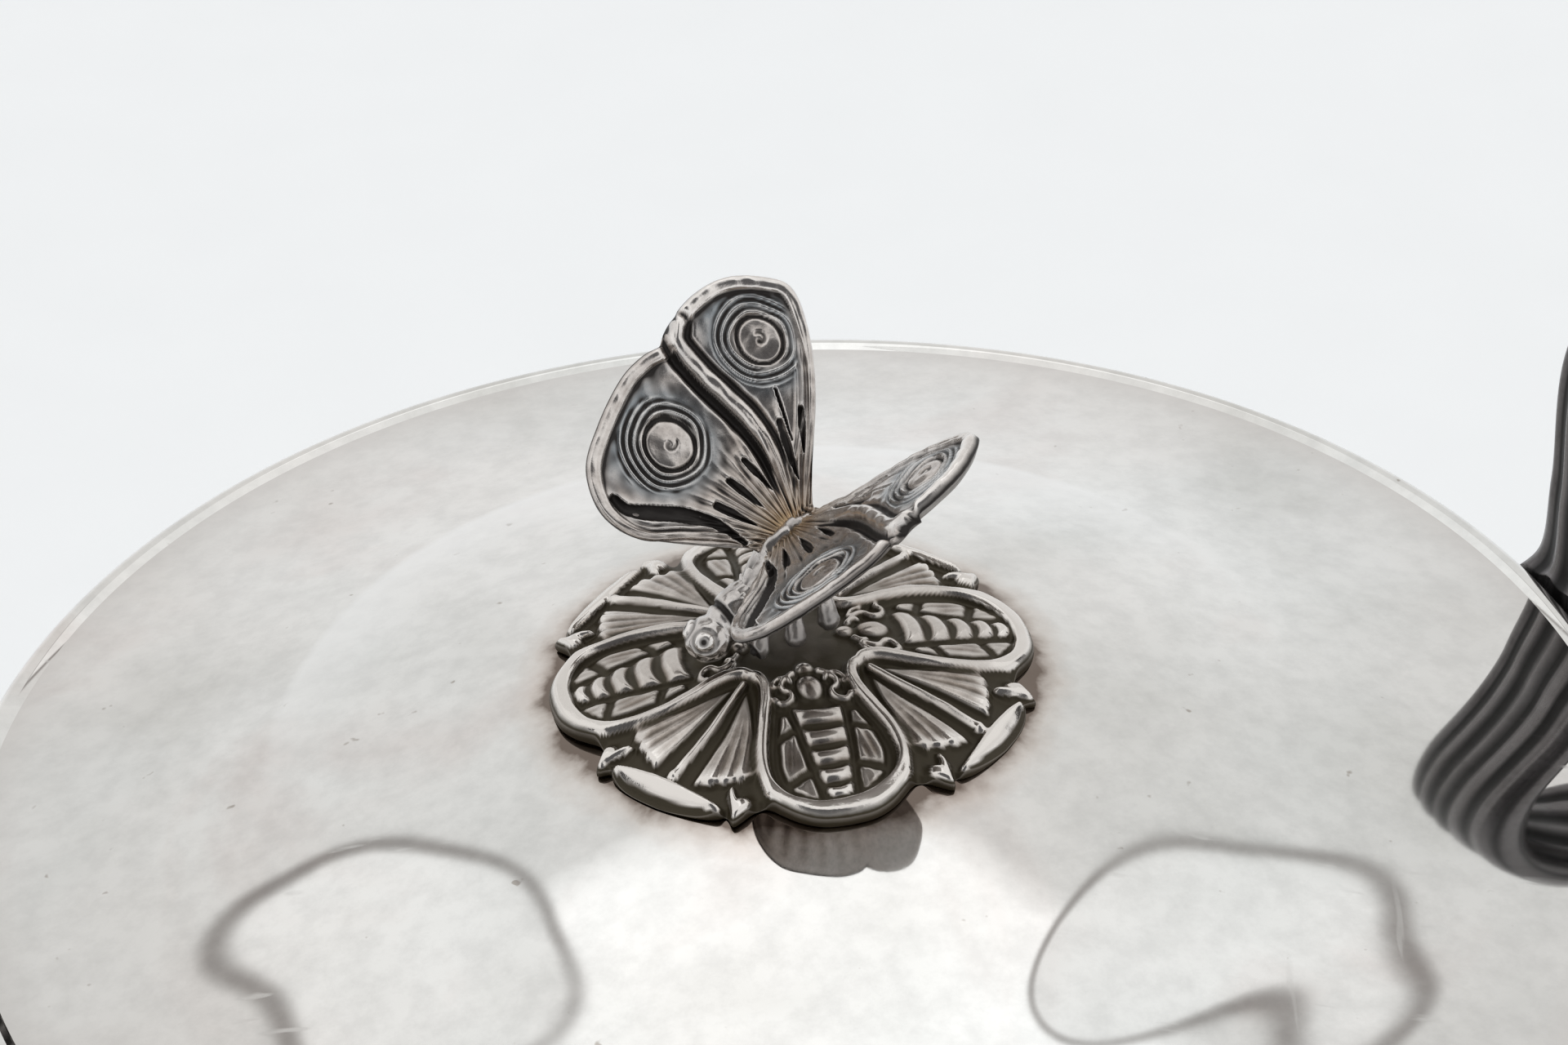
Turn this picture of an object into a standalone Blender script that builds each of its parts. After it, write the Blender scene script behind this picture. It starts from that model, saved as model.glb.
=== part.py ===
"""A covered silver sugar bowl: a raised bowl with two looped handles on a turned foot, and a
lift-off lid whose finial is a butterfly standing on a cast rosette.

Units are metres. The origin is the centre of the base, +Z is up, the handles lie along X and the
front faces -Y.
"""

import math

import bmesh
import bpy
from mathutils import Matrix, Vector

# Clearance between neighbouring pieces, and the number of facets round a turned piece.
GAP = 0.0003
SEGMENTS = 48

# Wall thicknesses.
BOWL_WALL = 0.0011
LID_WALL = 0.0009
FOOT_WALL = 0.0010

# Foot.
FOOT_RADIUS = 0.0415
FOOT_RING_WIDTH = 0.0055
FOOT_RING_HEIGHT = 0.0032
FOOT_TOP = 0.0330
FOOT_WAIST_RADIUS = 0.0070
KNOP_RADIUS = 0.0092
KNOP_HEIGHT = 0.0070

# Bowl: half an ellipsoid under a short straight neck.
BOWL_RADIUS = 0.0596
BOWL_BOTTOM = FOOT_TOP + GAP + KNOP_HEIGHT + GAP
BOWL_CURVE_HEIGHT = 0.0620
BOWL_RIM = 0.1120
MOULDING_RADIUS = 0.0618
MOULDING_HEIGHT = 0.0055

# Lid.
LID_RADIUS = 0.0625
LID_WIRE_WIDTH = 0.0019
LID_WIRE_HEIGHT = 0.0018
LID_EDGE = BOWL_RIM + GAP + LID_WIRE_HEIGHT / 2
LID_EDGE_RISE = 0.00085
LID_RISE = 0.01185
LID_DOME_RADIUS = 0.0450
BEZEL_RADIUS = 0.0579
BEZEL_WALL = 0.0010
BEZEL_BOTTOM = 0.1070

# Rosette: eight lobes, a petal and a crescent in turn, doming up to its crown. The casting is
# soldered slightly off the lid's centre.
ROSETTE_RADIUS = 0.0176
ROSETTE_CROWN = LID_EDGE + 0.0150
ROSETTE_DOME = 0.0031
ROSETTE_TURN = math.radians(-7.4)
ROSETTE_OFFSET = (-0.00040, 0.00015)
ROSETTE_LOBES = 8
ROSETTE_NOTCH = 0.055

# Butterfly, in its own frame: +X towards the head, +Y to its left, origin at the crown's height.
BUTTERFLY_HEADING = math.radians(-164.5)
BUTTERFLY_OFFSET = (-0.00027, 0.00096)
WING_CENTRE = Vector((-0.00108, 0.0, 0.00865))
LEFT_WING_TILT = (math.radians(28.0), math.radians(24.0))
RIGHT_WING_TILT = (math.radians(37.7), math.radians(20.25))
WING_THICKNESS = 0.0010
THORAX = ((-0.0003, 0.0, 0.0049), (0.0046, 0.0023, 0.0030), math.radians(24))
HEAD = ((0.0070, 0.0, 0.0016), (0.0019, 0.0017, 0.0016), 0.0)
NECK = ((0.0048, 0.0, 0.0030), (0.0026, 0.0016, 0.0018), math.radians(35))
ABDOMEN = ((-0.0052, 0.0, 0.0057), (0.0048, 0.0015, 0.0016), math.radians(10))
LEG_RADIUS = 0.0007
LEG_FEET = ((0.0042, 0.0024), (0.0012, 0.0030), (-0.0020, 0.0026))

# Studs, washers and nuts.
STUD_RADIUS = 0.0015
HOLE_RADIUS = 0.0019
WASHER_RADIUS = 0.0055
WASHER_THICKNESS = 0.0010
NUT_RADIUS = 0.0038
NUT_HEIGHT = 0.0028

# Handles: the centre line in the XZ plane from the rim, over the top and down to the bowl's side,
# with the half thickness at each point as a share of HANDLE_HALF_THICKNESS.
HANDLE_HALF_THICKNESS = 0.0022
HANDLE_WIDTH_RATIO = 2.9
HANDLE_LINE = (
    (0.0595, 0.1095, 1.25),
    (0.0655, 0.1130, 1.20),
    (0.0656, 0.1215, 1.00),
    (0.0657, 0.1330, 0.95),
    (0.0700, 0.1412, 0.90),
    (0.0775, 0.1420, 0.90),
    (0.0832, 0.1350, 0.90),
    (0.0855, 0.1210, 0.95),
    (0.0835, 0.1035, 0.95),
    (0.0760, 0.0885, 1.00),
    (0.0650, 0.0790, 1.15),
    (0.0530, 0.0745, 1.35),
)

# Wing outline, out from the body and forwards, in millimetres, starting at the front of the root.
# A corner keeps straight sides; the curve is smooth through every other point.
WING_OUTLINE = (
    (0.35, 3.1, "corner"),
    (3.0, 5.7, "smooth"),
    (6.4, 9.8, "smooth"),
    (10.6, 9.9, "smooth"),
    (14.3, 7.4, "smooth"),
    (15.9, 2.4, "smooth"),
    (15.7, -0.8, "corner"),
    (16.6, -5.4, "smooth"),
    (14.9, -9.9, "smooth"),
    (9.6, -9.6, "smooth"),
    (3.7, -5.7, "smooth"),
    (0.60, -2.5, "corner"),
)


def clear_scene():
    for item in list(bpy.data.objects):
        bpy.data.objects.remove(item, do_unlink=True)


def new_collection(name):
    made = bpy.data.collections.new(name)
    bpy.context.scene.collection.children.link(made)
    return made


def silver(name, colour, roughness):
    """A Principled material in a shade of silver."""
    made = bpy.data.materials.new(name)
    made.use_nodes = True
    shader = made.node_tree.nodes["Principled BSDF"]
    shader.inputs["Base Color"].default_value = (*colour, 1.0)
    shader.inputs["Metallic"].default_value = 1.0
    shader.inputs["Roughness"].default_value = roughness
    return made


def add_piece(name, data, finish):
    """Puts a mesh or a curve into the model as one named piece."""
    made = bpy.data.objects.new(name, data)
    if finish is not None:
        data.materials.append(finish)
    MODEL.objects.link(made)
    return made


def make_cutter(item):
    """Moves an object out of the model, to shape others without being a piece itself."""
    MODEL.objects.unlink(item)
    CUTTERS.objects.link(item)
    item.hide_render = True
    item.display_type = "WIRE"
    return item


def boolean(item, other, operation):
    modifier = item.modifiers.new(operation.lower(), "BOOLEAN")
    modifier.operation = operation
    modifier.solver = "EXACT"
    modifier.object = other


def as_mesh(name, guide, finish):
    """Replaces a curve object with a welded mesh of the shape that it draws."""
    bpy.context.view_layer.update()
    shaped = guide.evaluated_get(bpy.context.evaluated_depsgraph_get())
    mesh = bpy.data.meshes.new_from_object(shaped)
    mesh.name = name
    weld = bmesh.new()
    weld.from_mesh(mesh)
    bmesh.ops.remove_doubles(weld, verts=weld.verts, dist=0.000001)
    weld.to_mesh(mesh)
    weld.free()
    made = add_piece(name, mesh, finish)
    made.matrix_world = guide.matrix_world
    bpy.data.objects.remove(guide)
    return made


def turned(name, profile, finish, closed=False, wall=0.0):
    """Turns a profile of (radius, height) points, which runs down the outer side, about Z."""
    mesh = bpy.data.meshes.new(name)
    count = len(profile)
    edges = [(i, i + 1) for i in range(count - 1)]
    if closed:
        edges.append((count - 1, 0))
    mesh.from_pydata([(r, 0.0, z) for r, z in profile], edges, [])
    made = add_piece(name, mesh, finish)
    screw = made.modifiers.new("turn", "SCREW")
    screw.axis = "Z"
    screw.steps = SEGMENTS
    screw.render_steps = SEGMENTS
    screw.use_merge_vertices = True
    screw.merge_threshold = 0.00001
    screw.use_smooth_shade = True
    if wall:
        solidify = made.modifiers.new("wall", "SOLIDIFY")
        solidify.thickness = wall
        solidify.offset = -1.0
        solidify.use_even_offset = True
    return made


def ellipsoid(name, centre, radii, pitch, finish):
    """A sphere stretched to three radii, its front end pitched down."""
    mesh = bpy.data.meshes.new(name)
    ball = bmesh.new()
    bmesh.ops.create_uvsphere(ball, u_segments=12, v_segments=8, radius=1.0)
    bmesh.ops.scale(ball, vec=radii, verts=ball.verts)
    ball.to_mesh(mesh)
    ball.free()
    mesh.shade_smooth()
    made = add_piece(name, mesh, finish)
    made.location = centre
    made.rotation_euler = (0.0, pitch, 0.0)
    return made


def rod(name, radius, bottom, top, finish, sides=24):
    """An upright rod between two heights on the axis."""
    mesh = bpy.data.meshes.new(name)
    body = bmesh.new()
    bmesh.ops.create_cone(
        body, cap_ends=True, segments=sides, radius1=radius, radius2=radius, depth=top - bottom
    )
    body.to_mesh(mesh)
    body.free()
    made = add_piece(name, mesh, finish)
    made.location = (0.0, 0.0, (bottom + top) / 2)
    return made


def washer(name, bottom, finish):
    """A flat ring round the axis."""
    top = bottom + WASHER_THICKNESS
    section = [
        (HOLE_RADIUS, top),
        (WASHER_RADIUS, top),
        (WASHER_RADIUS, bottom),
        (HOLE_RADIUS, bottom),
    ]
    return turned(name, section, finish, closed=True)


def nut(name, bottom, finish):
    """A six-sided nut round the axis."""
    made = rod(name, NUT_RADIUS, bottom, bottom + NUT_HEIGHT, finish, sides=6)
    bore = make_cutter(rod(name + "_bore", HOLE_RADIUS, bottom - 0.001, bottom + 0.005, None))
    boolean(made, bore, "DIFFERENCE")
    return made


def ellipse_arc(centre, radii, start, end, count):
    """Points along part of an ellipse, from one angle in degrees to another."""
    points = []
    for i in range(count):
        angle = math.radians(start + (end - start) * i / (count - 1))
        points.append(
            (centre[0] + radii[0] * math.cos(angle), centre[1] + radii[1] * math.sin(angle))
        )
    return points


def bowl_outside(offset):
    """The bowl's outer profile from its neck to the axis, moved outwards by an offset."""
    centre = (0.0, BOWL_BOTTOM + BOWL_CURVE_HEIGHT)
    radii = (BOWL_RADIUS + offset, BOWL_CURVE_HEIGHT + offset)
    return ellipse_arc(centre, radii, 0, -90, 12)


def lid_height(radius):
    """The height of the lid's outer surface: a dome that turns out into a flatter brim."""
    edge_radius = LID_RADIUS - LID_WIRE_WIDTH - GAP

    def fall(r):
        return math.exp(-((r / LID_DOME_RADIUS) ** 2))

    share = (fall(radius) - fall(edge_radius)) / (1.0 - fall(edge_radius))
    return LID_EDGE + LID_EDGE_RISE + LID_RISE * share


def make_foot(plate, fixing):
    inner = FOOT_RADIUS - FOOT_RING_WIDTH
    half = FOOT_RING_HEIGHT / 2
    ring = ellipse_arc((FOOT_RADIUS - half, half), (half, half), 90, -90, 5)
    ring += [(inner, 0.0), (inner, FOOT_RING_HEIGHT)]
    turned("foot_ring", ring, plate, closed=True)

    bottom = FOOT_RING_HEIGHT + GAP + FOOT_WALL
    height = FOOT_TOP - 0.0020 - bottom
    spread = FOOT_RADIUS - 2 * half - FOOT_WAIST_RADIUS
    trumpet = ellipse_arc(
        (FOOT_WAIST_RADIUS + spread, bottom + height), (spread, height), 180, 270, 9
    )
    profile = [(HOLE_RADIUS, FOOT_TOP), (FOOT_WAIST_RADIUS, FOOT_TOP)] + trumpet
    turned("foot_shell", profile, plate, wall=FOOT_WALL)

    low = FOOT_TOP + GAP
    knop = [(HOLE_RADIUS, low + KNOP_HEIGHT), (0.0055, low + KNOP_HEIGHT)]
    middle = (KNOP_RADIUS - 0.0028, low + KNOP_HEIGHT / 2)
    knop += ellipse_arc(middle, (0.0028, 0.0026), 75, -75, 5)
    knop += [(0.0055, low), (HOLE_RADIUS, low)]
    turned("stem_knop", knop, plate, closed=True)

    washer_bottom = FOOT_TOP - FOOT_WALL - GAP - WASHER_THICKNESS
    nut_bottom = washer_bottom - GAP - NUT_HEIGHT
    washer("foot_washer", washer_bottom, fixing)
    nut("foot_nut", nut_bottom, fixing)
    rod("foot_stud", STUD_RADIUS, nut_bottom - 0.0020, BOWL_BOTTOM - GAP, fixing)


def make_bowl(plate):
    turned("bowl_shell", [(BOWL_RADIUS, BOWL_RIM)] + bowl_outside(0.0), plate, wall=BOWL_WALL)

    inner = BOWL_RADIUS + GAP
    low = BOWL_RIM - MOULDING_HEIGHT
    section = [(inner, BOWL_RIM)]
    bead = 0.0010
    section += ellipse_arc(
        (MOULDING_RADIUS - bead, BOWL_RIM - bead), (bead, bead), 80, -60, 4
    )
    cove = MOULDING_HEIGHT - 3.0 * bead
    section += ellipse_arc(
        (MOULDING_RADIUS - 1.2 * bead, low + cove / 2), (0.8 * bead, cove / 2), 60, -80, 4
    )
    section += [(inner, low)]
    turned("bowl_rim_moulding", section, plate, closed=True)


def keep_out():
    """The space the bowl and the lifting lid need, which the handles stay clear of."""
    outer = LID_RADIUS + 2 * GAP
    low = BOWL_RIM - MOULDING_HEIGHT - GAP
    profile = [(0.0, 0.1500), (outer, 0.1500), (outer, BOWL_RIM)]
    profile += [(MOULDING_RADIUS + GAP, BOWL_RIM - GAP), (MOULDING_RADIUS + GAP, low)]
    profile += [(BOWL_RADIUS + GAP, low - GAP)]
    return make_cutter(turned("keep_out", profile + bowl_outside(GAP), None))


def make_handle(name, side, space, finish):
    """A looped strap at one side, cut back to the bowl that it is soldered to."""
    line = bpy.data.curves.new(name + "_line", "CURVE")
    line.dimensions = "3D"
    line.bevel_depth = HANDLE_HALF_THICKNESS
    line.bevel_resolution = 2
    line.resolution_u = 4
    line.use_fill_caps = True
    spline = line.splines.new("BEZIER")
    spline.bezier_points.add(len(HANDLE_LINE) - 1)
    for point, (x, z, share) in zip(spline.bezier_points, HANDLE_LINE):
        point.co = (side * x, 0.0, z)
        point.handle_left_type = "AUTO"
        point.handle_right_type = "AUTO"
        point.radius = share
    guide = add_piece(name + "_line", line, None)
    guide.scale = (1.0, HANDLE_WIDTH_RATIO, 1.0)
    made = as_mesh(name, guide, finish)
    made.data.shade_smooth()
    boolean(made, space, "DIFFERENCE")


def make_lid(plate, fixing):
    edge_radius = LID_RADIUS - LID_WIRE_WIDTH - GAP
    steps = 12
    profile = []
    for i in range(steps + 1):
        radius = HOLE_RADIUS + (edge_radius - HOLE_RADIUS) * i / steps
        profile.append((radius, lid_height(radius)))
    turned("lid_shell", profile, plate, wall=LID_WALL)

    half = LID_WIRE_HEIGHT / 2
    inner = LID_RADIUS - LID_WIRE_WIDTH
    wire = [(inner, LID_EDGE + half)]
    wire += ellipse_arc((LID_RADIUS - half, LID_EDGE), (half, half), 90, -90, 5)
    wire += [(inner, LID_EDGE - half)]
    turned("lid_rim_wire", wire, plate, closed=True)

    top = lid_height(BEZEL_RADIUS) - 1.1 * LID_WALL - GAP
    collar = [
        (BEZEL_RADIUS, top),
        (BEZEL_RADIUS, BEZEL_BOTTOM + 0.0010),
        (BEZEL_RADIUS - BEZEL_WALL / 2, BEZEL_BOTTOM),
        (BEZEL_RADIUS - BEZEL_WALL, BEZEL_BOTTOM),
        (BEZEL_RADIUS - BEZEL_WALL, top),
    ]
    turned("lid_bezel", collar, plate, closed=True)

    washer_bottom = lid_height(WASHER_RADIUS) - LID_WALL - GAP - WASHER_THICKNESS
    nut_bottom = washer_bottom - GAP - NUT_HEIGHT
    washer("finial_washer", washer_bottom, fixing)
    nut("finial_nut", nut_bottom, fixing)
    rod("finial_stud", STUD_RADIUS, nut_bottom - 0.0015, lid_height(0.0), fixing)


def make_rosette(finish):
    """A domed plate with scalloped edges, lying on the dome of the lid."""
    top = []
    bottom = []
    steps = 6
    for i in range(steps + 1):
        radius = 1.1 * ROSETTE_RADIUS * i / steps
        top.append((radius, ROSETTE_CROWN - ROSETTE_DOME * (radius / ROSETTE_RADIUS) ** 2))
        bottom.append((radius, lid_height(radius) + 1.5 * GAP))
    blank = make_cutter(turned("rosette_blank", top + bottom[::-1], None))
    blank.location = (*ROSETTE_OFFSET, 0.0)

    outline = bpy.data.curves.new("rosette", "CURVE")
    outline.dimensions = "2D"
    outline.fill_mode = "BOTH"
    outline.extrude = ROSETTE_DOME
    spline = outline.splines.new("POLY")
    spline.use_cyclic_u = True
    count = 12 * ROSETTE_LOBES
    spline.points.add(count - 1)
    for i, point in enumerate(spline.points):
        angle = 2 * math.pi * i / count
        lobe = abs(math.cos(angle * ROSETTE_LOBES / 2))
        radius = ROSETTE_RADIUS * (1.0 - ROSETTE_NOTCH * (1.0 - lobe) ** 2)
        point.co = (radius * math.cos(angle), radius * math.sin(angle), 0.0, 1.0)
    guide = add_piece("rosette_outline", outline, None)
    guide.location = (*ROSETTE_OFFSET, ROSETTE_CROWN - ROSETTE_DOME)
    guide.rotation_euler = (0.0, 0.0, ROSETTE_TURN)
    boolean(as_mesh("rosette", guide, finish), blank, "INTERSECT")


def make_wings(name, side, tilt, perch, finish):
    """The joined fore and hind wing of one side; its tilt is how far it is raised and pitched."""
    rise, pitch = tilt
    outline = bpy.data.curves.new(name, "CURVE")
    outline.dimensions = "2D"
    outline.fill_mode = "BOTH"
    outline.extrude = WING_THICKNESS / 2
    outline.resolution_u = 5
    spline = outline.splines.new("BEZIER")
    spline.use_cyclic_u = True
    spline.bezier_points.add(len(WING_OUTLINE) - 1)
    for point, (out, forward, kind) in zip(spline.bezier_points, WING_OUTLINE):
        point.co = (out / 1000, forward / 1000, 0.0)
        point.handle_left_type = "VECTOR" if kind == "corner" else "AUTO"
        point.handle_right_type = point.handle_left_type
    made = add_piece(name, outline, finish)
    made.parent = perch
    ahead = Vector((math.cos(pitch), 0.0, -math.sin(pitch)))
    lift = Vector((math.sin(pitch), 0.0, math.cos(pitch)))
    out = Vector((0.0, side, 0.0)) * math.cos(rise) + lift * math.sin(rise)
    turn = Matrix((out, ahead, out.cross(ahead))).transposed().to_4x4()
    made.matrix_basis = Matrix.Translation(WING_CENTRE) @ turn


def make_butterfly(finish):
    perch = bpy.data.objects.new("butterfly_perch", None)
    MODEL.objects.link(perch)
    perch.location = (*BUTTERFLY_OFFSET, ROSETTE_CROWN)
    perch.rotation_euler = (0.0, 0.0, BUTTERFLY_HEADING)

    body = ellipsoid("butterfly_body", *THORAX, finish)
    body.parent = perch
    joined = [
        ellipsoid("butterfly_head", *HEAD, None),
        ellipsoid("butterfly_neck", *NECK, None),
        ellipsoid("butterfly_abdomen", *ABDOMEN, None),
    ]
    for row, (forward, out) in enumerate(LEG_FEET):
        for side in (1, -1):
            leg = rod(f"butterfly_leg_{row}_{side}", LEG_RADIUS, GAP, 0.0050, None, sides=8)
            leg.location = (forward, side * (out - 0.0008), leg.location.z)
            leg.rotation_euler = (side * math.radians(14), 0.0, 0.0)
            joined.append(leg)
    for item in joined:
        item.parent = perch
        boolean(body, make_cutter(item), "UNION")

    make_wings("butterfly_left_wings", 1, LEFT_WING_TILT, perch, finish)
    make_wings("butterfly_right_wings", -1, RIGHT_WING_TILT, perch, finish)


clear_scene()
MODEL = new_collection("sugar_bowl")
CUTTERS = new_collection("cutters")
PLATE_SILVER = silver("polished_silver", (0.84, 0.82, 0.78), 0.18)
CAST_SILVER = silver("cast_silver", (0.50, 0.46, 0.42), 0.35)
FIXING_SILVER = silver("fixing_silver", (0.66, 0.64, 0.60), 0.30)

make_foot(PLATE_SILVER, FIXING_SILVER)
make_bowl(PLATE_SILVER)
SPACE = keep_out()
make_handle("left_handle", -1, SPACE, CAST_SILVER)
make_handle("right_handle", 1, SPACE, CAST_SILVER)
make_lid(PLATE_SILVER, FIXING_SILVER)
make_rosette(CAST_SILVER)
make_butterfly(CAST_SILVER)
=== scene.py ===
"""Looks of a covered silver sugar bowl: a raised bowl and lid in worn, polished plate, and a cast
finial, a butterfly on a rosette of four bee petals, under a dark patina.

Places and sizes are in metres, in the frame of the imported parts. The relief of the castings is
drawn in millimetres, in the frame of each casting, and put in place at the end.
"""

import math

import bmesh
import bpy
import numpy as np
from mathutils import Matrix, Vector


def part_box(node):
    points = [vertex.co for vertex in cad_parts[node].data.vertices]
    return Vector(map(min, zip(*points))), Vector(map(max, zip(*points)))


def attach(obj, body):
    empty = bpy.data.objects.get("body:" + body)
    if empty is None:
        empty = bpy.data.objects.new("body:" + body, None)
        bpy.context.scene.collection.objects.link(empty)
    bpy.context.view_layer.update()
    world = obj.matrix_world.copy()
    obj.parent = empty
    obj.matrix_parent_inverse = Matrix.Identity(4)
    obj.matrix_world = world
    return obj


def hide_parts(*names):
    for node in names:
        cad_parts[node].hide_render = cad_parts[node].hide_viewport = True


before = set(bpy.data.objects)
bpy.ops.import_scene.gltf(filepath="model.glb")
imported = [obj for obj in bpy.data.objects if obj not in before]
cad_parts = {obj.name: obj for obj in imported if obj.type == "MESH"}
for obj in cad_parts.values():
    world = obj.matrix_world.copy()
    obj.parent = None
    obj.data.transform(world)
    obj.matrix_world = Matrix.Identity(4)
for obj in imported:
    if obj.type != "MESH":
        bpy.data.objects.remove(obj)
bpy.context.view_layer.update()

MM = 0.001
# A whole turn, in radians.
TURN = 2 * math.pi

# The lid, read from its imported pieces: a dome that turns out into a flatter brim.
LID_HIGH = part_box("lid_shell")[1]
WIRE_LOW, WIRE_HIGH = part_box("lid_rim_wire")
WIRE_HALF = (WIRE_HIGH.z - WIRE_LOW.z) / 2
LID_EDGE = (WIRE_HIGH.z + WIRE_LOW.z) / 2
LID_RADIUS = LID_HIGH.x
LID_WALL = 0.0009
LID_EDGE_RISE = 0.00085
LID_RISE = LID_HIGH.z - LID_EDGE - LID_EDGE_RISE
LID_DOME_RADIUS = 0.0450
HOLE_RADIUS = 0.0019

# Where the bowl's curve ends and its short upright neck begins.
BOWL_NECK = 0.1026

# The rosette, soldered slightly off the lid's centre and turned a little.
ROSETTE_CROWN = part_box("rosette")[1].z
ROSETTE_RADIUS = 17.6
ROSETTE_DOME = 3.1
ROSETTE_TURN = math.radians(-7.4)
ROSETTE_OFFSET = Vector((-0.00040, 0.00015))
GROUND = -0.95

# The butterfly, in its own frame: +X towards the head, +Y to its left, origin at the crown.
BUTTERFLY_HEADING = math.radians(-164.5)
BUTTERFLY_OFFSET = Vector((-0.00027, 0.00096, 0.0))
WING_CENTRE = Vector((-1.08, 0.0, 8.65))
LEFT_WING_TILT = (math.radians(28.0), math.radians(24.0))
RIGHT_WING_TILT = (math.radians(37.7), math.radians(20.25))

# The camera, which looks at a point a little under the rosette's crown.
CAMERA_HEADING = math.radians(-19.5)
CAMERA_ELEVATION = math.radians(35.98)
CAMERA_ROLL = math.radians(-1.71)
CAMERA_DISTANCE = 0.31275
CAMERA_DROP = 0.0021
AIM_RIGHT = -0.00101
AIM_UP = 0.00937
CAMERA_LENS = 100.0

SURFACE = "Principled BSDF"


# ---- Curves and distances, in the plane


def unit(value):
    """The value, held between 0 and 1."""
    return np.clip(value, 0.0, 1.0)


def around(count):
    """Angles once round a circle."""
    return np.linspace(0, TURN, count, endpoint=False)


def smooth_step(low, high, value):
    """0 below low, 1 above high, with a smooth rise between; low may be above high."""
    share = unit((value - low) / (high - low))
    return share * share * (3.0 - 2.0 * share)


def smooth_line(points, steps):
    """Points along a Catmull-Rom curve through the given ones."""
    points = np.array(points, float)
    guides = np.vstack((2 * points[0] - points[1], points, 2 * points[-1] - points[-2]))
    t = np.linspace(0.0, 1.0, steps, endpoint=False)[:, None]
    pieces = []
    for p0, p1, p2, p3 in zip(guides, guides[1:], guides[2:], guides[3:]):
        turn = 2 * p1 + (p2 - p0) * t + (2 * p0 - 5 * p1 + 4 * p2 - p3) * t**2
        pieces.append(0.5 * (turn + (3 * p1 - p0 - 3 * p2 + p3) * t**3))
    return np.vstack((*pieces, points[-1:]))


def measure(x, y, line):
    """Distance from each point to a line, the share of the line up to there, and the side."""
    best = np.full(x.shape, 1e9)
    along = np.zeros(x.shape)
    side = np.zeros(x.shape)
    run = 0.0
    for start, end in zip(line, line[1:]):
        step = end - start
        length = math.hypot(*step)
        if length < 1e-9:
            continue
        share = unit(((x - start[0]) * step[0] + (y - start[1]) * step[1]) / length**2)
        off_x = x - start[0] - share * step[0]
        off_y = y - start[1] - share * step[1]
        distance = np.hypot(off_x, off_y)
        nearer = distance < best
        best = np.where(nearer, distance, best)
        along = np.where(nearer, run + share * length, along)
        side = np.where(nearer, np.sign(step[0] * off_y - step[1] * off_x), side)
        run += length
    return best, along / run, side


def stroke(x, y, points, widths, steps=10):
    """How far inside a tapered stroke each point is: 1 on its centre line, 0 at its edges."""
    distance, share, _ = measure(x, y, smooth_line(points, steps))
    width = np.interp(share, np.linspace(0, 1, len(widths)), widths)
    return unit(1.0 - (distance / width) ** 2)


def bead(inside, top, ground=GROUND):
    """A round-topped ridge from a stroke, standing on the ground."""
    return np.where(inside > 0, ground + (top - ground) * np.sqrt(inside), ground)


def waves(x, y, seed, amplitude, wavelength, count=16):
    """A gentle unevenness, as hammering or hand finishing leaves."""
    generator = np.random.default_rng(seed)
    total = np.zeros(np.shape(x))
    for _ in range(count):
        angle = generator.uniform(0, TURN)
        length = wavelength * generator.uniform(0.7, 1.6)
        phase = generator.uniform(0, TURN)
        run = x * math.cos(angle) + y * math.sin(angle)
        total += np.sin(TURN * run / length + phase)
    return amplitude * total / math.sqrt(count / 2)


def blurred(field, rounds, wrap):
    """A grid of values smoothed along both ways; wrap joins the second way's ends."""
    for _ in range(rounds):
        padded = np.pad(field, ((1, 1), (0, 0)), mode="edge")
        field = 0.25 * padded[:-2] + 0.5 * field + 0.25 * padded[2:]
        padded = np.pad(field, ((0, 0), (1, 1)), mode="wrap" if wrap else "edge")
        field = 0.25 * padded[:, :-2] + 0.5 * field + 0.25 * padded[:, 2:]
    return field


# ---- Meshes


def grid_faces(rows, columns, wrap):
    """Quads over a grid of points, row by row."""
    reach = columns if wrap else columns - 1
    row, column = np.meshgrid(np.arange(rows - 1), np.arange(reach), indexing="ij")
    after = (column + 1) % columns
    corners = (
        row * columns + column,
        row * columns + after,
        (row + 1) * columns + after,
        (row + 1) * columns + column,
    )
    return np.stack([c.ravel() for c in corners], axis=1)


def put_in_scene(name, data):
    thing = bpy.data.objects.new(name, data)
    bpy.context.scene.collection.objects.link(thing)
    return thing


def add_piece(name, points, faces, finish, body, node, fields=None, sharp=180.0):
    """Makes a welded mesh piece that rides on a body and stands for a CAD node."""
    mesh = bpy.data.meshes.new(name)
    mesh.from_pydata(np.asarray(points).tolist(), [], [list(map(int, face)) for face in faces])
    for field, values in (fields or {}).items():
        layer = mesh.attributes.new(field, "FLOAT", "POINT")
        layer.data.foreach_set("value", np.asarray(values, np.float32).ravel())
    shape = bmesh.new()
    shape.from_mesh(mesh)
    bmesh.ops.remove_doubles(shape, verts=shape.verts, dist=0.000002)
    bmesh.ops.recalc_face_normals(shape, faces=shape.faces)
    shape.to_mesh(mesh)
    shape.free()
    mesh.shade_smooth()
    if sharp < 180.0:
        mesh.set_sharp_from_angle(angle=math.radians(sharp))
    mesh.materials.append(finish)
    piece = put_in_scene(name, mesh)
    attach(piece, body)
    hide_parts(node)


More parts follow.
